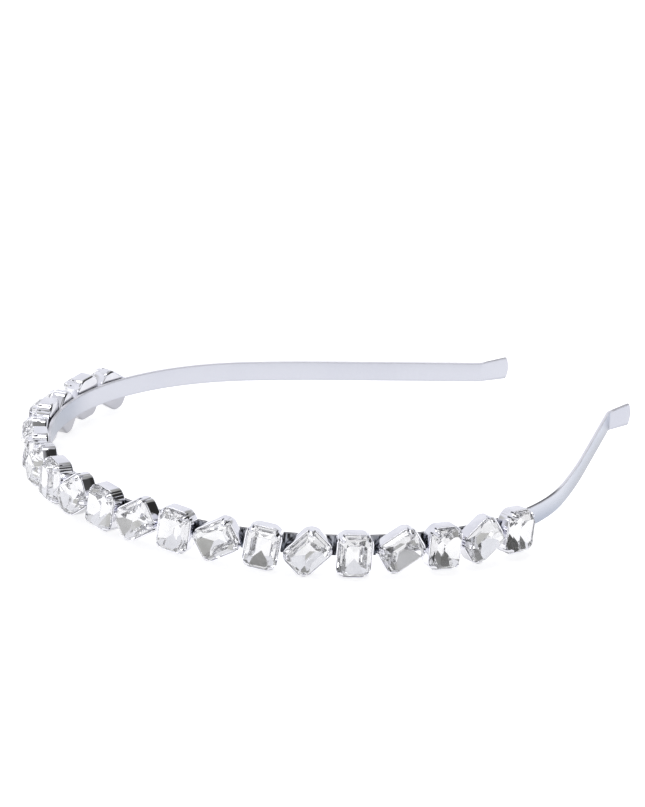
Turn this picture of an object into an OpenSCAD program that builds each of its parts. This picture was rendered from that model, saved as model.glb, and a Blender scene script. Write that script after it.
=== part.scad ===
// Crystal headband: a thin springy metal band, open at the back of the head, with a
// row of octagon crystals in claw cups round its crown. Millimetres, +Z up.
// It lies on the edge of its row, as it does on a table: the crown faces -Y, the tips
// reach toward +Y, and the lowest cup stands on Z = 0.

/* [Band] */
// Width of the band, from its lower edge to its upper edge
band_w = 5; // [4:0.1:7]
// Thickness of the band
band_t = 0.9; // [0.6:0.1:1.5]
// Chamfer along the four edges of the band
band_chamfer = 0.15; // [0.05:0.05:0.25]
// Radius of the crown, to the middle of the band
crown_r = 64.5; // [62:0.5:75]
// Angle of the crown on each side of its middle, in degrees
crown_turn = 119.5; // [105:0.5:125]
// Radius of the slow curve that leads from the crown into each arm
arm_r = 300; // [150:10:600]
// Angle of that slow curve, in degrees
arm_turn = 4.5; // [2:0.5:8]
// Straight length of each arm
arm_l = 36; // [20:1:50]

/* [Tips] */
// Angle at which each tip bends away from the head, in degrees
tip_turn = 27; // [10:1:40]
// Radius of that bend, to the middle of the band
tip_bend_r = 2.5; // [1.5:0.5:6]
// Length of a tip past its bend
tip_l = 8.5; // [5:0.5:12]
// Width of a tip at its end
tip_w = 5.7; // [5:0.1:7]
// Radius of the bowed end of a tip
tip_bow_r = 6; // [4:0.5:10]

/* [Row of crystals] */
// How many crystals stand in the row
stone_count = 20; // [20]
// Distance from one crystal to the next, along the band
stone_pitch = 10.4; // [10.4:0.1:11]
// How far the middle of the row lies from the middle of the crown, toward +X
row_shift = 6.6; // [-8:0.1:8]

/* [Crystal] */
// Width of a crystal at its girdle
stone_w = 8; // [7.5:0.1:8]
// Length of a crystal at its girdle
stone_l = 10.1; // [9.5:0.1:10.2]
// How much of each side a cut corner takes off
stone_cut = 1.6; // [1.6:0.05:2.2]
// Height of the girdle
girdle_h = 0.4; // [0.2:0.1:0.6]
// Height of the crown, from the girdle to the table
crown_h = 2.5; // [2.2:0.1:2.8]
// How far the table's sides lie inside the girdle's
table_inset = 1.5; // [1.3:0.1:1.7]
// Depth of the pavilion, from the girdle to the keel
pavilion_h = 1.75; // [1.5:0.05:2]
// Length of the keel, the short ridge at the bottom of the stone
keel_l = 1.4; // [1:0.1:2.5]
// Distance across the stone between the shoulders, the inner points of the facets under
// its cut corners
shoulder_w = 3.4; // [2.4:0.1:4.4]

/* [Cup] */
// Height of a cup, from its foot to its rim
cup_h = 3.6; // [3.6:0.1:4.2]
// Thickness of a cup's wall
cup_wall = 0.3; // [0.2:0.05:0.4]
// Thickness of a cup's floor
cup_floor = 0.4; // [0.3:0.1:0.5]
// Radius of the round edge between the foot and the walls
foot_r = 0.6; // [0.4:0.1:0.8]
// Size of the small bevel that eases each outer corner of a cup
corner_ease = 0.5; // [0.3:0.1:0.5]
// Gap between a crystal's girdle and the wall of its cup
seat_gap = 0.12; // [0.1:0.01:0.2]
// Gap between the band and the foot of a cup, where the joint is
joint_gap = 0.1; // [0.05:0.05:0.2]

/* [Claws] */
// Width of a claw
claw_w = 1.2; // [1:0.1:1.2]
// Thickness of a claw
claw_t = 0.35; // [0.25:0.05:0.4]
// How far a claw stands out from the corner of its cup
claw_out = 0.1; // [0.05:0.01:0.12]
// Length of a claw's hook before its round end
claw_l = 1.0; // [0.6:0.1:1.1]
// Gap between a claw and the crystal under it
claw_gap = 0.1; // [0.05:0.05:0.15]
// Width of the slit that frees each side of a claw
slit_w = 0.4; // [0.3:0.05:0.5]
// Depth of that slit below the rim
slit_h = 0.9; // [0.5:0.1:1.5]

/* [Hidden] */
// One row for each crystal, from the +X end of the row to the -X end. TILT turns it
// clockwise in degrees, RISE lifts it over the middle of the band, and SLIP moves it
// along the band toward +X from its even place.
TILT = 0;
RISE = 1;
SLIP = 2;
SETTING = [
    [ 5, -0.3,  0.4], [55, -0.2, -0.1], [ 2, -0.6,  0.0], [58, -0.3, -0.2], [ 1, -1.2, -0.5],
    [44, -0.9, -0.5], [ 7, -0.5, -0.3], [59, -0.2, -0.3], [ 5,  0.0, -0.3], [56,  0.0, -0.2],
    [ 6, -0.1, -0.2], [56, -0.2, -0.1], [ 4, -0.3,  0.0], [48, -0.2,  0.2], [ 3, -0.1,  0.4],
    [51, -0.3,  0.6], [ 2,  0.1,  0.0], [49, -0.9, -0.6], [ 4,  0.2, -0.4], [60, -0.4, -0.6],
];

// A cup is the girdle of its crystal with the gap and the wall added
rim_margin = seat_gap + cup_wall;
cup_w = stone_w + 2 * rim_margin;
cup_l = stone_l + 2 * rim_margin;
cup_cut = inset_cut(stone_cut, -rim_margin);

// Heights over the outer face of the band
rim_z = joint_gap + cup_h;
table_z = rim_z + crown_h;
girdle_z = rim_z - girdle_h;
floor_z = joint_gap + cup_floor;

// The step between the two rows of facets on the crown, inward and up from the girdle
crown_step_inset = 0.35 * table_inset;
crown_step_h = 0.5 * crown_h;

// The pavilion is a hipped roof turned over, and the keel is its ridge. The shoulders lie
// on the hips, this share of the way in from the corners of the uncut outline.
hip_share = 1 - shoulder_w / stone_w;
shoulder_y = stone_l / 2 - (stone_l - keel_l) / 2 * hip_share;
shoulder_z = girdle_z - pavilion_h * hip_share;
keel_z = girdle_z - pavilion_h;

// The hook of a claw leans over the crown at this angle. Its underside starts hook_x
// inside the corner of the cup and hook_z over the rim, clear of the crown by the gap.
hook_angle = 60;
hook_x = claw_out - claw_t * sin(hook_angle);
hook_z = crown_step_h + claw_gap / cos(hook_angle)
    - (rim_margin + crown_step_inset + hook_x) * tan(hook_angle);

// Bevel of a cup's inner corners, small enough to clear the crystal's sharp ones
inner_ease = 0.1;

// Height of the top of a claw over the outer face of the band
claw_z = rim_z + hook_z + (claw_l + claw_w / 2) * sin(hook_angle) + claw_t * cos(hook_angle);

// How far the stem of a claw overlaps the inner sides of its slits
stem_lap = 0.1;

// How far the slits' cutters reach through the wall, and over the rim
slit_through = 4 * cup_wall;
slit_over = 1;

// Facets across the round edge of the foot, and round the ends of the claws
foot_steps = 3;
claw_fn = 24;

// A station of the band's path holds its place, its heading in degrees from +X and
// half the width of the band there
X = 0;
Y = 1;
HEADING = 2;
HALF_W = 3;

// Stations along each stretch of the band
crown_steps = 40;
curve_steps = 3;
bend_steps = 4;
bow_steps = 6;

// The path from the middle of the crown to the +X tip, then the whole from tip to tip
middle = [0, -crown_r, 0, band_w / 2];
crown = arc(middle, crown_r, crown_turn, crown_steps);
curve = arc(last(crown), arm_r, arm_turn, curve_steps);
arm_end = past_line(last(curve), arm_l, band_w / 2);
tip_bend = arc(arm_end, -tip_bend_r, tip_turn, bend_steps);
half_path = concat([middle], crown, curve, [arm_end], tip_bend, bow(last(tip_bend), bow_steps));
path = concat([for (k = [len(half_path) - 1:-1:1]) mirrored(half_path[k])], half_path);

// Where the part stands: its middle on X = 0 and Y = 0, its lowest cup on Z = 0
lift = -min([for (i = [0:stone_count - 1]) lowest(i)]);
front_y = -(crown_r + band_t / 2 + max(table_z, claw_z));
back_y = last(path)[Y];
middle_y = (front_y + back_y) / 2;

// The name of piece i of a kind, counted from 01
function name(kind, i) = str(kind, i < 9 ? "_0" : "_", i + 1);

// Angle of crystal i round the crown, from its middle, in degrees
function place(i) =
    (row_shift + ((stone_count - 1) / 2 - i) * stone_pitch + SETTING[i][SLIP])
        / crown_r * 180 / PI;

// The cut of an octagon's corner after each side moves inward by d
function inset_cut(cut, d) = cut - d * (2 - sqrt(2));

// The eight corners of an octagon at height z
function octagon(w, l, cut, z) =
    let (a = w / 2, b = l / 2, c = cut)
    [[a, c - b, z], [a, b - c, z], [a - c, b, z], [c - a, b, z],
     [-a, b - c, z], [-a, c - b, z], [c - a, -b, z], [a - c, -b, z]];

// The same octagon with each side moved inward by d
function inset_octagon(w, l, cut, d, z) =
    octagon(w - 2 * d, l - 2 * d, inset_cut(cut, d), z);

// A closed outline with a small bevel of size e at each corner
function eased(ring, e) =
    let (n = len(ring))
    [for (i = [0:n - 1])
        let (p = ring[i], before = ring[(i + n - 1) % n], after = ring[(i + 1) % n])
        for (q = [before, after])
            p + e * (q - p) / norm(q - p)];

// The outlines of a crystal and of a cup, moved inward by d
function stone_ring(d, z) = inset_octagon(stone_w, stone_l, stone_cut, d, z);
function cup_ring(d, z, e) = eased(inset_octagon(cup_w, cup_l, cup_cut, d, z), e);

// The lowest point of cup i, from the middle of the band, over its rim and claws
function lowest(i) =
    let (
        t = SETTING[i][TILT],
        mid = [cup_w - cup_cut, cup_l - cup_cut] / 2,
        out = claw_out / sqrt(2),
        side = claw_w / 2 / sqrt(2),
        claws = [for (sx = [-1, 1], sy = [-1, 1], k = [-1, 1])
            [sx * (mid[0] + out + k * side), sy * (mid[1] + out - k * side)]]
    )
    SETTING[i][RISE]
        + min([for (p = concat(cup_ring(0, 0, corner_ease), claws)) p[1] * cos(t) - p[0] * sin(t)]);

// A station of the band's path past an arc of radius r from station s. A positive r
// turns to the left, a negative one to the right.
function past_arc(s, r, angle) =
    let (h = s[HEADING], g = h + sign(r) * angle)
    [s[X] + r * (sin(g) - sin(h)), s[Y] + r * (cos(h) - cos(g)), g, s[HALF_W]];

// The station straight ahead of station s by l, where the band is 2 * half_w wide
function past_line(s, l, half_w) =
    [s[X] + l * cos(s[HEADING]), s[Y] + l * sin(s[HEADING]), s[HEADING], half_w];

// The n stations along such an arc
function arc(s, r, angle, n) = [for (k = [1:n]) past_arc(s, r, angle * k / n)];

// The bowed end of a tip, from its two corners to its middle, as n stations past s
function bow(s, n) =
    let (corner = asin(tip_w / 2 / tip_bow_r))
    [for (k = [0:n - 1])
        let (a = corner * (1 - k / n))
        past_line(s, tip_l - tip_bow_r * (1 - cos(a)), tip_bow_r * sin(a))];

// The same station on the other side of the head
function mirrored(s) = [-s[X], s[Y], -s[HEADING], s[HALF_W]];

function last(list) = list[len(list) - 1];

// The section of the band at station s, with all four edges chamfered
function band_ring(s) =
    let (x = band_t / 2, y = s[HALF_W], c = min(band_chamfer, y / 2), h = s[HEADING])
    [for (q = [[x, c - y], [x, y - c], [x - c, y], [c - x, y],
               [-x, y - c], [-x, c - y], [c - x, -y], [x - c, -y]])
        [s[X] - q[0] * sin(h), s[Y] + q[0] * cos(h), q[1]]];

// A closed solid through rings of points, each with as many points as the first
module loft(rings) {
    n = len(rings[0]);
    last = (len(rings) - 1) * n;
    polyhedron(
        points = [for (ring = rings) each ring],
        faces = concat(
            [[for (i = [0:n - 1]) i]],
            [[for (i = [0:n - 1]) last + n - 1 - i]],
            [for (k = [0:len(rings) - 2], i = [0:n - 1])
                let (j = (i + 1) % n)
                [k * n + j, k * n + i, (k + 1) * n + i, (k + 1) * n + j]]
        )
    );
}

// The children, moved from the frame of the crown's centre to the part's own frame
module standing() {
    translate([0, -middle_y, lift])
        children();
}

// The children, set on the outer face of the band at place i. They are drawn with
// their width along X, their length along Y and their height over the band along Z.
module set_at(i) {
    standing()
        rotate([0, 0, place(i)])
            translate([0, -(crown_r + band_t / 2), SETTING[i][RISE]])
                rotate([0, SETTING[i][TILT], 0])
                    rotate([90, 0, 0])
                        children();
}

// The children, drawn at each cut corner of a cup's rim with X pointing outward
module at_corners() {
    for (sx = [0, 1], sy = [0, 1])
        mirror([sx, 0, 0])
            mirror([0, sy, 0])
                translate([(cup_w - cup_cut) / 2, (cup_l - cup_cut) / 2, rim_z])
                    rotate([0, 0, 45])
                        children();
}

// The wall and floor of a cup, one shell from its foot to its rim and back down inside
module shell() {
    loft(concat(
        [for (k = [0:foot_steps])
            let (a = 90 * k / foot_steps)
            cup_ring(foot_r * (1 - sin(a)), joint_gap + foot_r * (1 - cos(a)), corner_ease)],
        [cup_ring(0, rim_z, corner_ease)],
        [cup_ring(cup_wall, rim_z, inner_ease)],
        [cup_ring(cup_wall, floor_z + foot_r, inner_ease)],
        [cup_ring(cup_wall + foot_r, floor_z, inner_ease)]
    ));
}

// A claw: a stem up the corner of the wall, from the round edge of the foot, and a hook
// that leans over the crystal
module claw() {
    root = cup_h - foot_r;
    translate([claw_out - claw_t, -claw_w / 2, -root])
        cube([claw_t, claw_w, root + hook_z + claw_t * cos(hook_angle)]);
    translate([hook_x, 0, hook_z])
        rotate([0, hook_angle, 0])
            rotate([0, 0, 180])
                linear_extrude(claw_t) {
                    translate([0, -claw_w / 2])
                        square([claw_l, claw_w]);
                    translate([claw_l, 0])
                        circle(d = claw_w, $fn = claw_fn);
                }
}

// The two slits beside a claw
module slits() {
    for (side = [-1, 1])
        translate([0, side * (claw_w / 2 - stem_lap + slit_w / 2), (slit_over - slit_h) / 2])
            cube([slit_through, slit_w, slit_over + slit_h], center = true);
}

// The band, from tip to tip
module band() {
    color("gainsboro")
        standing()
            loft([for (s = path) band_ring(s)]);
}

// The cup at place i, with its four claws
module cup(i) {
    color("silver")
        set_at(i) {
            difference() {
                shell();
                at_corners()
                    slits();
            }
            at_corners()
                claw();
        }
}

// The crystal at place i: a table and a stepped crown over a girdle, and a pavilion with
// two ends, two sides and four corner facets
module stone(i) {
    rings = [
        stone_ring(table_inset, table_z),
        stone_ring(crown_step_inset, rim_z + crown_step_h),
        stone_ring(0, rim_z),
        stone_ring(0, girdle_z),
    ];
    shoulders = [for (q = [[1, 1], [-1, 1], [-1, -1], [1, -1]])
        [q[0] * shoulder_w / 2, q[1] * shoulder_y, shoulder_z]];
    n = 8;
    low = (len(rings) - 1) * n;
    inner = low + n;
    keel = inner + len(shoulders);
    color("lavender")
        set_at(i)
            polyhedron(
                points = concat(
                    [for (ring = rings) each ring],
                    shoulders,
                    [for (end = [1, -1]) [0, end * keel_l / 2, keel_z]]
                ),
                faces = concat(
                    [[for (k = [0:n - 1]) n - 1 - k]],
                    [for (r = [0:len(rings) - 2], k = [0:n - 1])
                        let (j = (k + 1) % n)
                        [r * n + k, r * n + j, (r + 1) * n + j, (r + 1) * n + k]],
                    [for (q = [0:3])
                        let (k = 2 * q + 1)
                        [low + k, low + (k + 1) % n, inner + q]],
                    [[low + 2, low + 3, inner + 1, keel, inner],
                     [low + 4, low + 5, inner + 2, keel + 1, keel, inner + 1],
                     [low + 6, low + 7, inner + 3, keel + 1, inner + 2],
                     [low, low + 1, inner, keel, keel + 1, inner + 3]]
                )
            );
}

band();
for (i = [0:stone_count - 1]) {
    cup(i);
    stone(i);
}
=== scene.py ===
# %% [markdown]
# # A crystal headband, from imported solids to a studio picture
#
# A thin springy metal band lies on its edge on a white table. Round its crown stand
# twenty octagon crystals, each in a small silver cup with four claws. The CAD model has
# already settled where everything is. This lesson dresses it: each piece gets a finer
# mesh in the same place, a material made of nodes, and light that suits polished metal
# and cut glass.
#
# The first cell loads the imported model, which stays fixed. Everything here is in its
# frame: the crown faces -Y, the tips reach toward +Y, and the table is at Z = 0. The
# frame is in metres. The headband's own sizes are named in millimetres, and MM turns
# them into metres.

# %% Load the frame
from math import asin, cos, hypot, pi, radians, sin, sqrt, tan

import bmesh
import bpy
from mathutils import Matrix, Vector


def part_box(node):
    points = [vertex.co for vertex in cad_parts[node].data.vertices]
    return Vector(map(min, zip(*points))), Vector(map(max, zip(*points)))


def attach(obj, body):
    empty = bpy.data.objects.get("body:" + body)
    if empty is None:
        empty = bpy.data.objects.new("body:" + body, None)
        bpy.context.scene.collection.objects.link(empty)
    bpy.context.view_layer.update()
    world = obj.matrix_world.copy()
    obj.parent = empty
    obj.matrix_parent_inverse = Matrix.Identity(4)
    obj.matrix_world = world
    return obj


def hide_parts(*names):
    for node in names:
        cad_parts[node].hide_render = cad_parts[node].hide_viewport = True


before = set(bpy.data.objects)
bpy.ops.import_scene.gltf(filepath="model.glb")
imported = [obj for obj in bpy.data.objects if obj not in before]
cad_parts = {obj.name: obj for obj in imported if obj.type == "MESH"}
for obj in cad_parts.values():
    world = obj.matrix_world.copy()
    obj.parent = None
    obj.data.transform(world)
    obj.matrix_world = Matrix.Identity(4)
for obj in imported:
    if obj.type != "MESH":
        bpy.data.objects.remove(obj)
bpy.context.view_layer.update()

MM = 0.001

# %% [markdown]
# ## Shader maths as plain expressions
#
# A procedural material is a small formula: noise times a mask plus a colour. Written
# as node calls it is hard to read, so one class wraps a socket and overloads the
# operators. Each operator adds the Math node that does the work. The reflected forms
# let a number stand on the left, as in 1 - mask. Vectors and colours have methods of
# their own, because a Math node would turn a colour grey.

# %% A socket that can be added and multiplied
def plug(socket, value):
    """Links an input to a Link, or sets it to any other value."""
    if isinstance(value, Link):
        value.tree.links.new(value.socket, socket)
    else:
        socket.default_value = value


class Link:
    """An output socket of a node, with operators that add nodes."""

    def __init__(self, tree, socket):
        self.tree, self.socket = tree, socket

    def node(self, kind, settings=None, out=0, **values):
        """Adds a node: its settings first, then the values or links of its inputs.

        An input goes by its name, with _ for a space, or by its number, as in i0.
        """
        n = self.tree.nodes.new(kind)
        for key, value in (settings or {}).items():
            setattr(n, key, value)
        for key, value in values.items():
            numbered = key[0] == "i" and key[1:].isdigit()
            plug(n.inputs[int(key[1:]) if numbered else key.replace("_", " ")], value)
        return Link(self.tree, n.outputs[out])

    def _maths(self, operation, *operands):
        return self.node("ShaderNodeMath", {"operation": operation},
                         **{f"i{k}": v for k, v in enumerate(operands)})

    def __add__(self, other): return self._maths("ADD", self, other)
    def __radd__(self, other): return self._maths("ADD", other, self)
    def __sub__(self, other): return self._maths("SUBTRACT", self, other)
    def __rsub__(self, other): return self._maths("SUBTRACT", other, self)
    def __mul__(self, other): return self._maths("MULTIPLY", self, other)
    def __rmul__(self, other): return self._maths("MULTIPLY", other, self)

    def between(self, low, high):
        """0 before low, 1 past high, and a soft rise from one to the other."""
        return self.node("ShaderNodeMapRange", {"interpolation_type": "SMOOTHSTEP"},
                         Value=self, From_Min=low, From_Max=high)

    def between_mm(self, low, high):
        """The same for a length in metres, with both ends in millimetres."""
        return self.between(low * MM, high * MM)

    def _vector(self, operation, other, out="Vector"):
        return self.node("ShaderNodeVectorMath", {"operation": operation}, out=out,
                         i0=self, i1=other)

    def moved(self, x, y, z):
        """A vector with a step added."""
        return self._vector("ADD", (x, y, z))

    def stretched(self, x, y, z):
        """A vector, each of its axes scaled."""
        return self._vector("MULTIPLY", (x, y, z))

    def along(self, other):
        """How far a vector reaches along another: their dot product."""
        return self._vector("DOT_PRODUCT", other, "Value")

    def axis(self, letter):
        """One axis of a vector."""
        return self.node("ShaderNodeSeparateXYZ", out=letter, i0=self)

    def mixed(self, low, high):
        """A colour from low to high as this value goes from 0 to 1."""
        return self.node("ShaderNodeMix", {"data_type": "RGBA"}, out=2, i0=self,
                         i6=low if isinstance(low, Link) else (*low, 1),
                         i7=high if isinstance(high, Link) else (*high, 1))


def new_material(name):
    """A node material: its shader, and a start for expressions on its tree."""
    material = bpy.data.materials.new(name)
    material.use_nodes = True
    shader = material.node_tree.nodes["Principled BSDF"]
    return material, shader, Link(material.node_tree, None)


def feed(shader, **inputs):
    """Sets or links the inputs of a shader or of the world's background."""
    for key, value in inputs.items():
        plug(shader.inputs[key.replace("_", " ")], value)


def count_nodes(owner):
    """Says how many nodes a material or the world has."""
    print(f"{owner.name}: {len(owner.node_tree.nodes)} nodes")


# %% [markdown]
# ## Meshes from rings
#
# The band, the cups and the claws are all one idea: a closed outline that moves and
# changes along a way. A list of rings with the same number of points becomes a skin of
# quads, with a cap at each end. Blender marks an edge as sharp where two faces meet at
# a steep angle, so flat walls stay flat and rounded edges look round.

# %% Skin a list of rings
def skin(rings, first=0):
    """Points and faces of a closed solid through rings of points."""
    n = len(rings[0])
    points = [p for ring in rings for p in ring]
    faces = [[first + k * n + i, first + k * n + (i + 1) % n,
              first + (k + 1) * n + (i + 1) % n, first + (k + 1) * n + i]
             for k in range(len(rings) - 1) for i in range(n)]
    end = first + (len(rings) - 1) * n
    faces += [[first + i for i in reversed(range(n))], [end + i for i in range(n)]]
    return points, faces


def into_scene(name, data):
    """An object that shows a mesh, a lamp or a camera."""
    obj = bpy.data.objects.new(name, data)
    bpy.context.scene.collection.objects.link(obj)
    return obj


def piece(name, points, faces, crease=35, ways=None):
    """A mesh object from points in millimetres, smooth up to a crease in degrees."""
    mesh = bpy.data.meshes.new(name)
    mesh.from_pydata([Vector(p) * MM for p in points], [], faces)
    bm = bmesh.new()
    bm.from_mesh(mesh)
    if ways:
        layer = bm.loops.layers.uv.new("along")
        for face in bm.faces:
            for loop in face.loops:
                loop[layer].uv = ways[loop.vert.index]
    bmesh.ops.recalc_face_normals(bm, faces=bm.faces)
    bm.to_mesh(mesh)
    bm.free()
    for face in mesh.polygons:
        face.use_smooth = True
    mesh.set_sharp_from_angle(angle=radians(crease))
    return into_scene(name, mesh)


# %% [markdown]
# ## The band
#
# The real band is a strip of spring steel, rolled to a round crown, with nearly
# straight arms. Each tip is bent outward and ends in a bow, so that it doesn't scratch.
# The strip's edges are tumbled smooth. The way along its middle is drawn with the same
# arcs and lines as in the CAD source, only finer, and a rounded section runs along it.

# %% The way along the band
CROWN_R, CROWN_TURN = 64.5, 119.5
ARM_R, ARM_TURN, ARM_L = 300, 4.5, 36
TIP_TURN, TIP_BEND_R, TIP_L, TIP_W, TIP_BOW_R = 27, 2.5, 8.5, 5.7, 6
BAND_W, BAND_T = 5, 0.9
CROWN_STEPS, BEND_STEPS, ARM_STEPS, TIP_STEPS, BOW_STEPS = 150, 10, 12, 6, 14
BOW_SHARE = 5 / 6  # the bow stops a little before it would come to a point


def arc(s, r, angle, n):
    """Stations along an arc from station s: x, y, heading, half width."""
    x, y, h, w = s
    out = []
    for k in range(1, n + 1):
        g = h + (angle if r > 0 else -angle) * k / n
        out.append((x + r * (sin(radians(g)) - sin(radians(h))),
                    y + r * (cos(radians(h)) - cos(radians(g))), g, w))
    return out


def ahead(s, length, half_w):
    """The station straight ahead of station s."""
    x, y, h, _ = s
    return (x + length * cos(radians(h)), y + length * sin(radians(h)), h, half_w)


half_way = [(0, -CROWN_R, 0, BAND_W / 2)]
half_way += arc(half_way[-1], CROWN_R, CROWN_TURN, CROWN_STEPS)
half_way += arc(half_way[-1], ARM_R, ARM_TURN, BEND_STEPS)
half_way += [ahead(half_way[-1], ARM_L * k / ARM_STEPS, BAND_W / 2)
             for k in range(1, ARM_STEPS + 1)]
half_way += arc(half_way[-1], -TIP_BEND_R, TIP_TURN, BEND_STEPS)
tip_start = half_way[-1]
corner = asin(TIP_W / 2 / TIP_BOW_R)
half_way += [ahead(tip_start, (TIP_L - TIP_BOW_R * (1 - cos(corner))) * k / TIP_STEPS,
                   BAND_W / 2 + (TIP_W - BAND_W) / 2 * k / TIP_STEPS)
             for k in range(1, TIP_STEPS)]
half_way += [ahead(tip_start, TIP_L - TIP_BOW_R * (1 - cos(a)), TIP_BOW_R * sin(a))
             for a in (corner * (1 - BOW_SHARE * k / BOW_STEPS) for k in range(BOW_STEPS + 1))]
way = [(-x, y, -h, w) for x, y, h, w in reversed(half_way[1:])] + half_way
print(f"{len(way)} stations along the band")

# %% Where the CAD model stands
low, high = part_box("band")
LIFT = (low[2] + high[2]) / 2 / MM
MIDDLE_Y = -low[1] / MM - (CROWN_R + BAND_T / 2)
STANDING = Matrix.Translation((0, -MIDDLE_Y, LIFT))
print(f"the band's middle is {LIFT:.3f} mm up, the crown's centre at y = {-MIDDLE_Y:.3f} mm")

# %% The band's section, swept
EDGE_R, EDGE_STEPS = 0.26, 5
EDGE_SHARE = 0.6  # the most of the half width that an edge takes, where the bow narrows
MAP_MM = 100  # the map of the strip counts in steps of this length


def band_section(s):
    """A rounded strip on its edge across station s."""
    x, y, h, w = s
    r = min(EDGE_R, w * EDGE_SHARE)
    ring = []
    for k, (cx, cy) in enumerate([(1, 1), (-1, 1), (-1, -1), (1, -1)]):
        for j in range(EDGE_STEPS + 1):
            a = (k + j / EDGE_STEPS) * pi / 2
            u = cx * (BAND_T / 2 - r) + r * cos(a)
            v = cy * (w - r) + r * sin(a)
            ring.append(STANDING @ Vector((x - u * sin(radians(h)),
                                           y + u * cos(radians(h)), v)))
    return ring


rings = [band_section(s) for s in way]
points, faces = skin(rings)
travel = [0.0]
for a, b in zip(way, way[1:]):
    travel.append(travel[-1] + hypot(b[0] - a[0], b[1] - a[1]))
ways = [(gone / MAP_MM, p.z / MAP_MM) for gone, ring in zip(travel, rings) for p in ring]
band = piece("headband_band", points, faces, ways=ways)
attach(band, "root")
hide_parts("band")
print(f"band: {travel[-1]:.1f} mm along its middle, {len(faces)} faces")

# %% [markdown]
# ## The row of crystals
#
# The crystals are set by hand, every second one turned by about 50 degrees, so the row
# has a rhythm but no two settings are alike. Each row of the table holds how far the
# crystal is turned, how far it sits over the middle of the band, and how far it has
# slipped along the band from its even place. One matrix puts a piece drawn flat, with
# its height along Z, onto the outer face of the band.

# %% Each crystal's place
PITCH, ROW_SHIFT = 10.4, 6.6
SETTING = [
    (5, -0.3, 0.4), (55, -0.2, -0.1), (2, -0.6, 0.0), (58, -0.3, -0.2), (1, -1.2, -0.5),
    (44, -0.9, -0.5), (7, -0.5, -0.3), (59, -0.2, -0.3), (5, 0.0, -0.3), (56, 0.0, -0.2),
    (6, -0.1, -0.2), (56, -0.2, -0.1), (4, -0.3, 0.0), (48, -0.2, 0.2), (3, -0.1, 0.4),
    (51, -0.3, 0.6), (2, 0.1, 0.0), (49, -0.9, -0.6), (4, 0.2, -0.4), (60, -0.4, -0.6),
]


def set_at(i):
    """The matrix that puts a piece on the band at place i."""
    turn, rise, slip = SETTING[i]
    along = ROW_SHIFT + ((len(SETTING) - 1) / 2 - i) * PITCH + slip
    return (STANDING @ Matrix.Rotation(along / CROWN_R, 4, "Z")
            @ Matrix.Translation((0, -(CROWN_R + BAND_T / 2), rise))
            @ Matrix.Rotation(radians(turn), 4, "Y") @ Matrix.Rotation(pi / 2, 4, "X"))


print(len(SETTING), "places along the band")

# %% [markdown]
# ## Cutting a crystal
#
# A lapidary starts with a block and grinds one flat facet after another. Blender can do
# the same: bisect_plane cuts a mesh along a plane and throws one side away, and the
# hole is filled with one new face. Every facet is then truly flat, which matters,
# because a bent facet would smear what it mirrors.
#
# The front of the stone is a table and two steps of facets over a thin girdle. The back
# is coated with mirror foil: two facets at the ends, two along the sides and four at
# the corners, which meet in a short keel. It is shallow, like a hipped roof turned
# over, so it mirrors the room in a few large plain fields. A steep back would break
# them into splinters.

# %% Sizes of a crystal and its cup
STONE_W, STONE_L, STONE_CUT = 8.0, 10.1, 1.6
GIRDLE_H, CROWN_H, TABLE_INSET = 0.4, 2.5, 1.5
STEP_IN, STEP_UP = 0.35 * TABLE_INSET, 0.5 * CROWN_H
PAVILION_H, KEEL_L, SHOULDER_W = 1.75, 1.4, 3.4
SEAT_GAP, WALL = 0.12, 0.3
MARGIN = SEAT_GAP + WALL
CUP_W, CUP_L = STONE_W + 2 * MARGIN, STONE_L + 2 * MARGIN
CUP_CUT = STONE_CUT + MARGIN * (2 - sqrt(2))
JOINT_GAP, CUP_H, FOOT_R = 0.1, 3.6, 0.6
RIM_Z = JOINT_GAP + CUP_H
GIRDLE_Z = RIM_Z - GIRDLE_H
TABLE_Z = RIM_Z + CROWN_H
print(f"crystal {STONE_W} x {STONE_L} mm, cup {CUP_W:.2f} x {CUP_L:.2f} x {CUP_H} mm")

# %% Grind one facet after another
GLASS, FOIL = 0, 1
BLOCK, PLANE_TOL, WELD_TOL = 40, 1e-5, 1e-4


def grind(bm, normal, point, finish):
    """Cuts away what lies past the plane through a point, and fills the new facet."""
    cut = bmesh.ops.bisect_plane(bm, geom=bm.verts[:] + bm.edges[:] + bm.faces[:],
                                 plane_co=point, plane_no=normal, clear_outer=True,
                                 dist=PLANE_TOL)
    rim = [e for e in cut["geom_cut"] if isinstance(e, bmesh.types.BMEdge)]
    if rim:
        for face in bmesh.ops.holes_fill(bm, edges=rim)["faces"]:
            face.material_index = finish


# direction, distance and kind of the eight upright sides of the stone
corner_reach = ((STONE_W + STONE_L) / 2 - STONE_CUT) / sqrt(2)
SIDES = [(Vector((s, 0, 0)), STONE_W / 2, "side") for s in (1, -1)]
SIDES += [(Vector((0, s, 0)), STONE_L / 2, "end") for s in (1, -1)]
SIDES += [(Vector((sx, sy, 0)).normalized(), corner_reach, "corner")
          for sx in (1, -1) for sy in (1, -1)]

# how far in and how far down each kind of facet runs on the foiled back
shoulder_fall = PAVILION_H * (1 - SHOULDER_W / STONE_W)
shoulder_y = STONE_L / 2 - (STONE_L - KEEL_L) / 2 * (1 - SHOULDER_W / STONE_W)
corner_run = ((STONE_W + STONE_L) / 2 - STONE_CUT - SHOULDER_W / 2 - shoulder_y) / sqrt(2)
BACK = {"side": (STONE_W / 2, PAVILION_H), "end": ((STONE_L - KEEL_L) / 2, PAVILION_H),
        "corner": (corner_run, shoulder_fall)}


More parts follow.
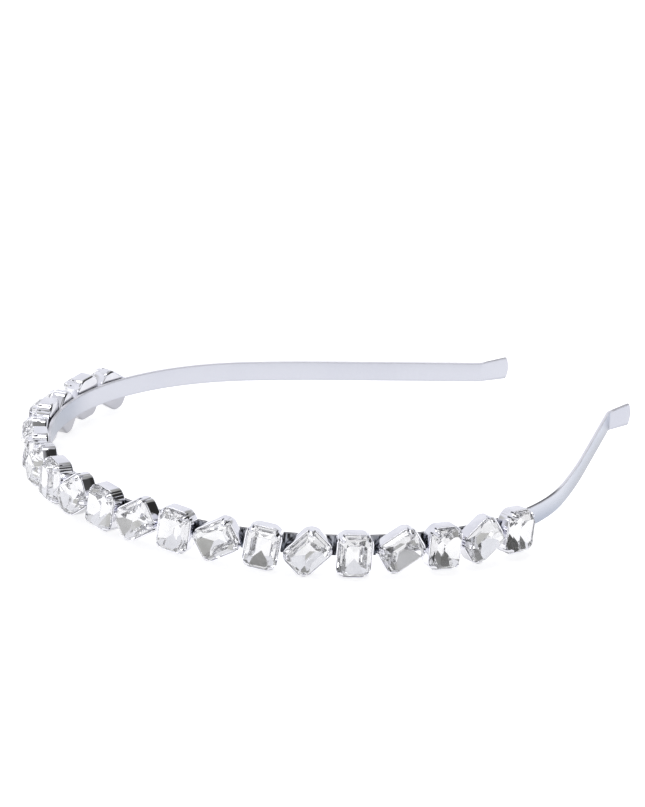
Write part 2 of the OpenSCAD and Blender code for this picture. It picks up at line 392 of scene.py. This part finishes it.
def cut_stone():
    """A bmesh of the crystal, in millimetres, in the frame of its cup."""
    bm = bmesh.new()
    bmesh.ops.create_cube(bm, size=BLOCK)
    up = Vector((0, 0, 1))
    grind(bm, up, up * TABLE_Z, GLASS)
    for out, reach, _ in SIDES:
        grind(bm, out, out * reach, FOIL)
        grind(bm, (out * STEP_UP + up * STEP_IN).normalized(), out * reach + up * RIM_Z, GLASS)
        grind(bm, (out * (CROWN_H - STEP_UP) + up * (TABLE_INSET - STEP_IN)).normalized(),
              out * (reach - STEP_IN) + up * (RIM_Z + STEP_UP), GLASS)
    for out, reach, kind in SIDES:
        run, fall = BACK[kind]
        grind(bm, (out * fall - up * run).normalized(), out * reach + up * GIRDLE_Z, FOIL)
    bmesh.ops.remove_doubles(bm, verts=bm.verts, dist=WELD_TOL)
    bmesh.ops.recalc_face_normals(bm, faces=bm.faces)
    return bm


stone_mesh = cut_stone()
deep = min(v.co.z for v in stone_mesh.verts)
print(f"a crystal has {len(stone_mesh.faces)} facets; its back ends {deep:.2f} mm over the band")

# %% Twenty crystals
stones = []
for i in range(len(SETTING)):
    name = f"crystal_{i + 1:02d}"
    mesh = bpy.data.meshes.new(name)
    stone_mesh.to_mesh(mesh)
    mesh.transform(Matrix.Scale(MM, 4) @ set_at(i))
    obj = into_scene(name, mesh)
    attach(obj, "root")
    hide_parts(f"stone_{i + 1:02d}")
    stones.append(obj)
stone_mesh.free()
print(len(stones), "crystals set")

# %% [markdown]
# ## The cup
#
# Each cup is stamped from thin sheet: a foot, four straight walls with cut corners, and
# a prong at every cut corner that becomes a claw. The sheet is pressed, so no edge is
# truly sharp. The outline is an octagon with a small arc at every corner, and the rings
# follow the wall up outside, over the lip and down inside.

# %% The pressed shell
CORNER_R, INNER_R, CORNER_STEPS = 2.2, 0.6, 6
LIP_R, LIP_STEPS, FOOT_STEPS = 0.07, 4, 5
BASE_T = 0.4
SNUG = 0.06  # how much thicker the wall is drawn, to close up round the crystal


def quarter(steps):
    """Angles from 0 to a right angle, in even steps."""
    return [k / steps * pi / 2 for k in range(steps + 1)]


def rounded_octagon(inset, z, r):
    """The cup's outline moved inward, with an arc of radius r at each corner."""
    a, b = CUP_W / 2 - inset, CUP_L / 2 - inset
    c = CUP_CUT - inset * (2 - sqrt(2))
    corners = [(a, c - b), (a, b - c), (a - c, b), (c - a, b),
               (-a, b - c), (-a, c - b), (c - a, -b), (a - c, -b)]
    ring = []
    for k, p in enumerate(corners):
        p = Vector(p)
        before = (Vector(corners[k - 1]) - p).normalized()
        after = (Vector(corners[(k + 1) % len(corners)]) - p).normalized()
        reach = r * tan(pi / 8)
        centre = p + (before + after).normalized() * (r / cos(pi / 8))
        start = p + before * reach - centre
        for j in range(CORNER_STEPS + 1):
            t = j / CORNER_STEPS * pi / 4
            q = centre + Matrix.Rotation(t, 2) @ start
            ring.append(Vector((q.x, q.y, z)))
    return ring


def cup_rings():
    """Rings from the middle of the foot, up the wall, over the lip and down inside."""
    inside = WALL + SNUG
    rings = [rounded_octagon(FOOT_R * (1 - sin(a)), JOINT_GAP + FOOT_R * (1 - cos(a)), CORNER_R)
             for a in quarter(FOOT_STEPS)]
    rings += [rounded_octagon(LIP_R * (1 - cos(a)), RIM_Z - LIP_R * (1 - sin(a)), CORNER_R)
              for a in quarter(LIP_STEPS)]
    rings += [rounded_octagon(inside - LIP_R * (1 - sin(a)), RIM_Z - LIP_R * (1 - cos(a)), INNER_R)
              for a in quarter(LIP_STEPS)[1:]]
    rings.append(rounded_octagon(inside, JOINT_GAP + BASE_T + FOOT_R, INNER_R))
    rings.append(rounded_octagon(inside + FOOT_R, JOINT_GAP + BASE_T, INNER_R))
    return rings


print(len(cup_rings()), "rings make a shell")

# %% [markdown]
# ## The claws
#
# A claw is a stem that runs up a cut corner and a hook that bends over the crystal. It
# is flat underneath, domed on top and filed round at its end, so it too is a list of
# rings: each station on the way up has a centre, an outward direction, a width and a
# thickness. The hook's height is worked out from the slope of the crystal's lower step,
# so that it stays clear of the glass by the same gap as in the CAD model.

# %% One claw
CLAW_W, CLAW_T, CLAW_OUT, CLAW_GAP = 1.2, 0.35, 0.1, 0.1
HOOK_ANGLE, HOOK_L = radians(60), 1.0
HOOK_X = CLAW_OUT - CLAW_T * sin(HOOK_ANGLE)
HOOK_Z = (STEP_UP + CLAW_GAP / cos(HOOK_ANGLE)
          - (MARGIN + STEP_IN + HOOK_X) * tan(HOOK_ANGLE))
STEM_STOPS = (FOOT_R - CUP_H, -2, -1, -0.3)
BEND_BELOW, BEND_PAST, BEND_STOPS = 0.15, 0.3, 4
BEND_SWELL = Vector((0.03, 0, 0.02))
HOOK_STOPS = (BEND_PAST, 0.65, HOOK_L)
END_STEPS, END_SHARE, END_THIN = 5, 0.97, 0.35
DOME_STEPS, DOME_POWER = 8, 0.6


def claw_stations():
    """Centre, outward direction, width and thickness at each stop up a claw."""
    lean = Vector((-cos(HOOK_ANGLE), 0, sin(HOOK_ANGLE)))
    flat = Vector((sin(HOOK_ANGLE), 0, cos(HOOK_ANGLE)))
    outward = Vector((1, 0, 0))
    hook = Vector((HOOK_X, 0, HOOK_Z)) + flat * CLAW_T / 2
    stem_x = CLAW_OUT - CLAW_T / 2
    bend = Vector((stem_x, 0, HOOK_Z - BEND_BELOW))
    stations = [(Vector((stem_x, 0, z)), outward, CLAW_W, CLAW_T)
                for z in (*STEM_STOPS, HOOK_Z - BEND_BELOW)]
    for k in range(1, BEND_STOPS):
        t = k / BEND_STOPS
        stations.append((bend.lerp(hook + lean * BEND_PAST, t) + BEND_SWELL * sin(t * pi),
                         outward.slerp(flat, t), CLAW_W, CLAW_T))
    stations += [(hook + lean * s, flat, CLAW_W, CLAW_T) for s in HOOK_STOPS]
    for a in quarter(END_STEPS)[1:]:
        a *= END_SHARE
        thin = END_THIN + (1 - END_THIN) * cos(a)
        centre = hook + lean * (HOOK_L + CLAW_W / 2 * sin(a)) - flat * CLAW_T / 2 * (1 - thin)
        stations.append((centre, flat, CLAW_W * cos(a), CLAW_T * thin))
    return stations


def claw_rings():
    """Rings up a claw, with X pointing out of the corner and Z over the rim."""
    rings = []
    for centre, out, w, t in claw_stations():
        ring = []
        for k in range(DOME_STEPS + 1):
            a = pi * k / DOME_STEPS
            ring.append(centre + Vector((0, -w / 2 * cos(a), 0))
                        + out * (t * (sin(a) ** DOME_POWER - 0.5)))
        ring.append(centre - out * t * 0.5)
        rings.append(ring)
    return rings


print(f"a claw bends {HOOK_Z:.2f} mm over the rim, and has {len(claw_rings())} rings")

# %% [markdown]
# ## The slits
#
# On the real cup the wall is sawn beside each claw, so that the claw bends and the wall
# doesn't buckle. A Boolean modifier does what the saw does, with eight blocks as its
# blades. The claws are added after it and stay whole.

# %% Saw the wall and add the claws
SLIT_W, SLIT_H, SLIT_OVER, STEM_LAP = 0.4, 0.9, 1.0, 0.1
BLADE_REACH = 0.6
CUP_CREASE = 32


def at_corners():
    """The four frames at the cut corners of the rim, with X pointing outward."""
    return [Matrix.Diagonal((sx, sy, 1, 1))
            @ Matrix.Translation(((CUP_W - CUP_CUT) / 2, (CUP_L - CUP_CUT) / 2, RIM_Z))
            @ Matrix.Rotation(pi / 4, 4, "Z") for sx in (1, -1) for sy in (1, -1)]


def blades():
    """Points and faces of the blocks that saw a slit on both sides of each claw."""
    points, faces = [], []
    x, w = BLADE_REACH, SLIT_W / 2
    for at in at_corners():
        for side in (-1, 1):
            y = side * (CLAW_W / 2 - STEM_LAP + w)
            block = [[at @ Vector(p) for p in ((-x, y - w, z), (x, y - w, z),
                                               (x, y + w, z), (-x, y + w, z))]
                     for z in (-SLIT_H, SLIT_OVER)]
            more, sides = skin(block, len(points))
            points += more
            faces += sides
    return points, faces


def cup_shape():
    """Points and faces of a cup: the pressed shell, sawn, and its four claws."""
    shell, saw_blades = piece("shell", *skin(cup_rings())), piece("blades", *blades())
    saw = shell.modifiers.new("saw", "BOOLEAN")
    saw.object, saw.solver = saw_blades, "EXACT"
    sawn = shell.evaluated_get(bpy.context.evaluated_depsgraph_get()).to_mesh()
    points = [v.co / MM for v in sawn.vertices]
    faces = [list(face.vertices) for face in sawn.polygons]
    for obj in (shell, saw_blades):
        mesh = obj.data
        bpy.data.objects.remove(obj)
        bpy.data.meshes.remove(mesh)
    for at in at_corners():
        more, sides = skin([[at @ p for p in ring] for ring in claw_rings()], len(points))
        points += more
        faces += sides
    return points, faces


points, faces = cup_shape()
print(f"a cup has {len(faces)} faces")

# %% Twenty cups
cups = []
for i in range(len(SETTING)):
    at = set_at(i)
    cup = piece(f"claw_cup_{i + 1:02d}", [at @ Vector(p) for p in points], faces, CUP_CREASE)
    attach(cup, "root")
    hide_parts(f"cup_{i + 1:02d}")
    cups.append(cup)
print(len(cups), "cups on the band")

# %% [markdown]
# ## Satin silver for the band
#
# The band is plated and satin-polished. Seen close, the polish leaves a grain that runs
# along the strip. Noise stretched far along the strip and squeezed across it gives that
# grain; it moves the roughness a little and feeds a very shallow bump.
#
# The rest is painted light and shade in the colour. Outside, painted shade darkens the strip
# from its upper edge to its lower one, and behind the row dark streaks are a painted
# reflection of the cups. Inside, painted shade turns it grey at the far end of the crown,
# and all round its lower edge is greyed with painted shade. Its upper edge is rougher from
# wear and painted lighter as a highlight, with a painted dark reflection line beside the
# first crystals and at the tips. All of these are masks from the place on the strip and
# the way that it faces, so they stay put from every side.

# %% Grain, and streaks of painted reflection
satin, shader, start = new_material("satin_silver")
spot = start.node("ShaderNodeTexCoord", out="Object")
facing = start.node("ShaderNodeNewGeometry", out="Normal")
on_strip = start.node("ShaderNodeTexCoord", out="UV")
GRAIN, STREAKS = (60, 9000, 1), (800, 800, 260)
OUTER_FACE = (CROWN_R + 0.3, CROWN_R + 0.4)
ROW_END = (-6, -5)
SILVER_DULL, SILVER_CLEAR = (0.585, 0.595, 0.655), (0.62, 0.63, 0.685)
# the dark colour of a painted reflection of the cups in the outer face
CUP_REFLECTION_DARK = (0.02, 0.02, 0.022)


def round_the_crown(spot):
    """The flat vector from the crown's centre to a place, and its length."""
    from_centre = spot.moved(0, MIDDLE_Y * MM, 0).stretched(1, 1, 0)
    return from_centre, from_centre.node("ShaderNodeVectorMath", {"operation": "LENGTH"},
                                         out="Value", i0=from_centre)


grain = start.node("ShaderNodeTexNoise", Vector=on_strip.stretched(*GRAIN), Scale=1.0, Detail=3.0)
cloud = start.node("ShaderNodeTexNoise", Vector=spot, Scale=35.0, Detail=2.0)
streak = start.node("ShaderNodeTexNoise", Vector=spot.stretched(*STREAKS), Scale=1.0, Detail=2.0,
                    Distortion=0.4)
from_centre, radius = round_the_crown(spot)
outer = radius.between_mm(*OUTER_FACE)
in_row = 1 - from_centre.axis("Y").between_mm(*ROW_END)
# painted reflection: dark streaks where the outer face behind the row mirrors the cups
streaks = outer * in_row * (0.42 + 0.58 * streak.between(0.57, 0.43))
silver = cloud.between(0.35, 0.65).mixed(SILVER_DULL, SILVER_CLEAR)

# %% Painted shade of the outer face
UPPER_EDGE, LOWER_EDGE, LOWER_RIM = LIFT + 2.6, LIFT - 2.6, LIFT - 1.9
TURNED_OUT, ARMS_Y, TIPS_Y = (0, 20), (15, 40), (72, 73)
ROW_TOP, ROW_FOOT_SHADE = (0.61, 0.63, 0.69), (0.375, 0.41, 0.49)
ARM_TOP, ARM_FOOT_SHADE = (0.475, 0.51, 0.60), (0.30, 0.32, 0.375)
RIM_SHADE = (0.36, 0.37, 0.42)
x_at, y_at, z_at = [spot.axis(letter) for letter in "XYZ"]
# painted shade: the outer face darkens toward the table, where it would mirror the shadow under
# the band
down = z_at.between_mm(UPPER_EDGE, LOWER_EDGE)
outward = facing.along(from_centre).between_mm(*TURNED_OUT) * (1 - y_at.between_mm(*TIPS_Y))
by_row, on_arm = down.mixed(ROW_TOP, ROW_FOOT_SHADE), down.mixed(ARM_TOP, ARM_FOOT_SHADE)
outside = y_at.between_mm(*ARMS_Y).mixed(by_row, on_arm)
silver = outward.mixed(silver, outside)
# painted shade along the band's lower edge, next to the table
lower_rim_shade = z_at.between_mm(LOWER_RIM, LOWER_EDGE)
silver = (lower_rim_shade * 0.4).mixed(silver, RIM_SHADE)

# %% Painted shade of the far end, painted light and a dark line on the upper edge
FAR_WAY, FAR_END = (-0.707, -0.707, 0), (0.87 * CROWN_R, 0.985 * CROWN_R)
FIRST_X, FIRST_Y, TIP_ENDS_Y = (-10, 10), (15, 22), (73, 74)
FAR_SHADE, EDGE_HIGHLIGHT, DARK_REFLECTION_LINE = (0.31, 0.345, 0.42), (0.88, 0.88, 0.92), (0.08, 0.08, 0.09)
# painted shade on the inner face at the far end of the crown
far_end_shade = from_centre.along(FAR_WAY).between_mm(*FAR_END)
silver = (far_end_shade * (1 - outer) * 0.75).mixed(silver, FAR_SHADE)
facing_up = facing.axis("Z")
# the upper edge: rougher from wear, and painted lighter as a highlight where it faces up
upper = facing_up.between(0.25, 0.5)
silver = upper.mixed(silver, EDGE_HIGHLIGHT)
# painted reflection: a dark line along the top of the edge, beside the first crystals and at the
# tips
by_first = x_at.between_mm(*FIRST_X) * (1 - y_at.between_mm(*FIRST_Y))
by_tips = y_at.between_mm(*TIP_ENDS_Y)
painted_dark_line = facing_up.between(0.8, 1.0) * (by_first * 0.85 + by_tips * 0.4)
silver = painted_dark_line.mixed(silver, DARK_REFLECTION_LINE)
feed(shader,
     Base_Color=streaks.mixed(silver, CUP_REFLECTION_DARK),
     Metallic=1.0,
     Roughness=0.2 + grain * 0.1 + cloud * 0.06 + upper * 0.45,
     Normal=start.node("ShaderNodeBump", Strength=0.08, Distance=0.00003, Height=grain))
band.data.materials.append(satin)
count_nodes(satin)

# %% [markdown]
# ## Bright plate for the cups
#
# The cups are plated too, and tumbled until they mirror. What keeps them from looking
# like computer chrome is that the plate isn't quite even: soft pools where it is duller,
# and tiny waves from the press. At its foot and underneath, a cup is greyer with painted
# shade. The foot is found by how near it is to the band, and the underside by the way
# that it faces.

# %% Bright plate
NEAR_BAND, NEAR_TABLE = (CROWN_R + 0.6, CROWN_R + 2.4), (LIFT + 0.5, LIFT + 2)
PLATE_DULL, PLATE_CLEAR = (0.80, 0.80, 0.84), (0.91, 0.91, 0.94)
FOOT_SHADE, UNDER_SHADE = (0.42, 0.42, 0.46), (0.30, 0.30, 0.32)
plate, shader, start = new_material("bright_plate")
place = start.node("ShaderNodeTexCoord", out="Object")
facing_up = start.node("ShaderNodeNewGeometry", out="Normal").axis("Z")
pools = start.node("ShaderNodeTexNoise", Vector=place, Scale=260.0, Detail=3.0)
waves = start.node("ShaderNodeTexNoise", Vector=place, Scale=420.0, Detail=1.0)
_, radius = round_the_crown(place)
near_band = 1 - radius.between_mm(*NEAR_BAND)
near_table = 1 - 0.6 * place.axis("Z").between_mm(*NEAR_TABLE)
# painted shade at the cup's foot, where it meets the band near the table
foot = near_band * near_table * (1 - facing_up.between(0.1, 0.5))
# painted shade on the downward-facing undersides of the cups
under = 1 - facing_up.between(-0.75, -0.35)
bright = pools.between(0.3, 0.7).mixed(PLATE_DULL, PLATE_CLEAR)
bright = (foot * 0.85).mixed(bright, FOOT_SHADE)
feed(shader,
     Base_Color=(under * 0.7).mixed(bright, UNDER_SHADE),
     Metallic=1.0,
     Roughness=0.05 + pools * 0.06,
     Normal=start.node("ShaderNodeBump", Strength=0.25, Distance=0.00012, Height=waves))
for cup in cups:
    cup.data.materials.append(plate)
count_nodes(plate)

# %% [markdown]
# ## Glass and foil
#
# The crystals are clear lead glass. The facets in front let light in and out, and the
# foil behind sends it back, so the glass never shows what is under it. The mesh has one
# material slot for each: glass in front, mirror on the back.

# %% Clear glass, mirror foil
glass, shader, start = new_material("clear_crystal")
place = start.node("ShaderNodeTexCoord", out="Object")
haze = start.node("ShaderNodeTexNoise", Vector=place, Scale=150.0, Detail=2.0)
feed(shader,
     Base_Color=haze.between(0.3, 0.7).mixed((0.985, 0.985, 0.99), (1.0, 1.0, 1.0)),
     Roughness=haze.between(0.5, 0.9) * 0.02,
     Transmission_Weight=1.0,
     IOR=1.56)

foil, shader, start = new_material("mirror_foil")
place = start.node("ShaderNodeTexCoord", out="Object")
film = start.node("ShaderNodeTexNoise", Vector=place, Scale=300.0, Detail=2.0)
feed(shader,
     Base_Color=film.between(0.3, 0.7).mixed((0.82, 0.82, 0.825), (0.88, 0.88, 0.885)),
     Metallic=1.0,
     Roughness=0.02 + film * 0.03)
for stone in stones:
    stone.data.materials.append(glass)
    stone.data.materials.append(foil)
count_nodes(glass)
count_nodes(foil)

# %% [markdown]
# ## The table and the room
#
# Polished things show their surroundings, so the studio matters more here than the
# lamps. The room is white, and the table gives a little light of its own, so it stays
# white right up to the band. Twelve grey and dark cloths hang in the room, where the
# darker facets look: without them the crystals would be white on white. Each cloth is a
# soft round spot in the colour of the world.

# %% The table
TABLE_HALF = 4.0
floor_mesh = bpy.data.meshes.new("table_top")
floor_mesh.from_pydata([(x * TABLE_HALF, y * TABLE_HALF, 0)
                        for x, y in ((-1, -1), (1, -1), (1, 1), (-1, 1))], [], [(0, 1, 2, 3)])
floor = into_scene("table_top", floor_mesh)
floor_white, shader, _ = new_material("table_white")
feed(shader, Base_Color=(0.60, 0.60, 0.61, 1), Roughness=0.9,
     Emission_Color=(1, 1, 1, 1), Emission_Strength=0.72)
floor_mesh.materials.append(floor_white)
count_nodes(floor_white)


# %% The room
def direction(azimuth, elevation):
    """The direction toward a place in the room. Azimuth 0 is -Y, 90 is +X."""
    a, e = radians(azimuth), radians(elevation)
    return Vector((sin(a) * cos(e), -cos(a) * cos(e), sin(e)))


ROOM, CEILING, ROOM_STRENGTH = (0.97, 0.98, 1.04), (0.62, 0.62, 0.65), 0.92
CLOTH_BLUE = 0.97
CLOTHS = [
    # azimuth, elevation, half width in degrees, softness, brightness
    (178, 46, 24, 8, 0.40),
    (20, 11, 13, 6, 0.55),
    (46, 13, 13, 6, 0.48),
    (74, 13, 14, 6, 0.46),
    (97, 13, 9, 4, 0.66),
    (-47, 13, 14, 8, 0.62),
    (145, 30, 26, 5, 0.03),
    (111, 38, 5, 3, 0.20),
    (112, 51, 16, 3, 0.07),
    (96, 62, 9, 4, 0.04),
    (52, 80, 7, 3, 0.08),
    (40, 60, 15, 6, 0.26),
]
world = bpy.data.worlds.new("white_room")
bpy.context.scene.world = world
world.use_nodes = True
toward = Link(world.node_tree, None).node("ShaderNodeTexCoord", out="Generated")
colour = toward.axis("Z").between(0.72, 0.97).mixed(ROOM, CEILING)
for azimuth, elevation, half, soft, bright in CLOTHS:
    near = toward.along(direction(azimuth, elevation))
    mask = near.between(cos(radians(half + soft)), cos(radians(half - soft)))
    colour = mask.mixed(colour, (bright, bright, bright * CLOTH_BLUE))
feed(world.node_tree.nodes["Background"], Color=colour, Strength=ROOM_STRENGTH)
count_nodes(world)

# %% [markdown]
# ## The lamps
#
# Two soft boxes high over the row, one on the left and one on the right, add what the
# room alone lacks: a few clear highlights on the metal. An area lamp does what a lamp
# behind a cloth screen does, so its highlights are soft.

# %% Two soft boxes
def soft_box(name, azimuth, elevation, far, size, power):
    """A square area lamp that looks at the middle of the row."""
    data = bpy.data.lights.new(name, "AREA")
    data.size, data.energy = size, power
    obj = into_scene(name, data)
    obj.location = direction(azimuth, elevation) * far
    obj.rotation_euler = (-obj.location).to_track_quat("-Z", "Y").to_euler()
    print(f"{name}: {power} W from {far} m away")


soft_box("key_box", azimuth=-60, elevation=70, far=1.3, size=0.5, power=3.0)
soft_box("back_box", azimuth=60, elevation=78, far=1.4, size=0.4, power=2.0)

# %% [markdown]
# ## The camera
#
# The camera stands well away, as for small jewellery, and looks down at the row from
# the right. Its place, its turn and its slight roll were worked out from the band's
# edges in the picture. The lens follows from how many pixels a millimetre takes at the
# point that it looks at.

# %% The camera
AZIMUTH, ELEVATION, ROLL = 46.05, 18.5, 3.66
FAR = 1200
AIM_X, AIM_BEHIND_CROWN = -26.86, 93.66
AIM = Vector((AIM_X, AIM_BEHIND_CROWN - CROWN_R - MIDDLE_Y, LIFT))
PX_PER_MM, FRAME_H, SENSOR, SIGHT = 3.918, 807, 36, 50
back = direction(AZIMUTH, ELEVATION)
right = Vector((0, 0, 1)).cross(back).normalized()
up = back.cross(right)
roll = radians(ROLL)
camera_right = right * cos(roll) + up * sin(roll)
camera_up = up * cos(roll) - right * sin(roll)
data = bpy.data.cameras.new("photo_camera")
data.sensor_fit, data.sensor_height, data.sensor_width = "VERTICAL", SENSOR, SENSOR
data.lens = PX_PER_MM * FAR * SENSOR / FRAME_H
data.clip_end = SIGHT
camera = into_scene("photo_camera", data)
turn = Matrix((camera_right, camera_up, back)).transposed().to_4x4()
camera.matrix_world = Matrix.Translation((AIM + back * FAR) * MM) @ turn
bpy.context.scene.camera = camera
print(f"camera {FAR} mm away, lens {data.lens:.1f} mm")

# %% Plain colours, and light that may bounce often
bpy.context.scene.view_settings.view_transform = "Standard"
# light crosses a crystal many times before it comes out
paths = bpy.context.scene.cycles
paths.max_bounces, paths.glossy_bounces, paths.transmission_bounces = 32, 24, 24
print("light may bounce", paths.max_bounces, "times")
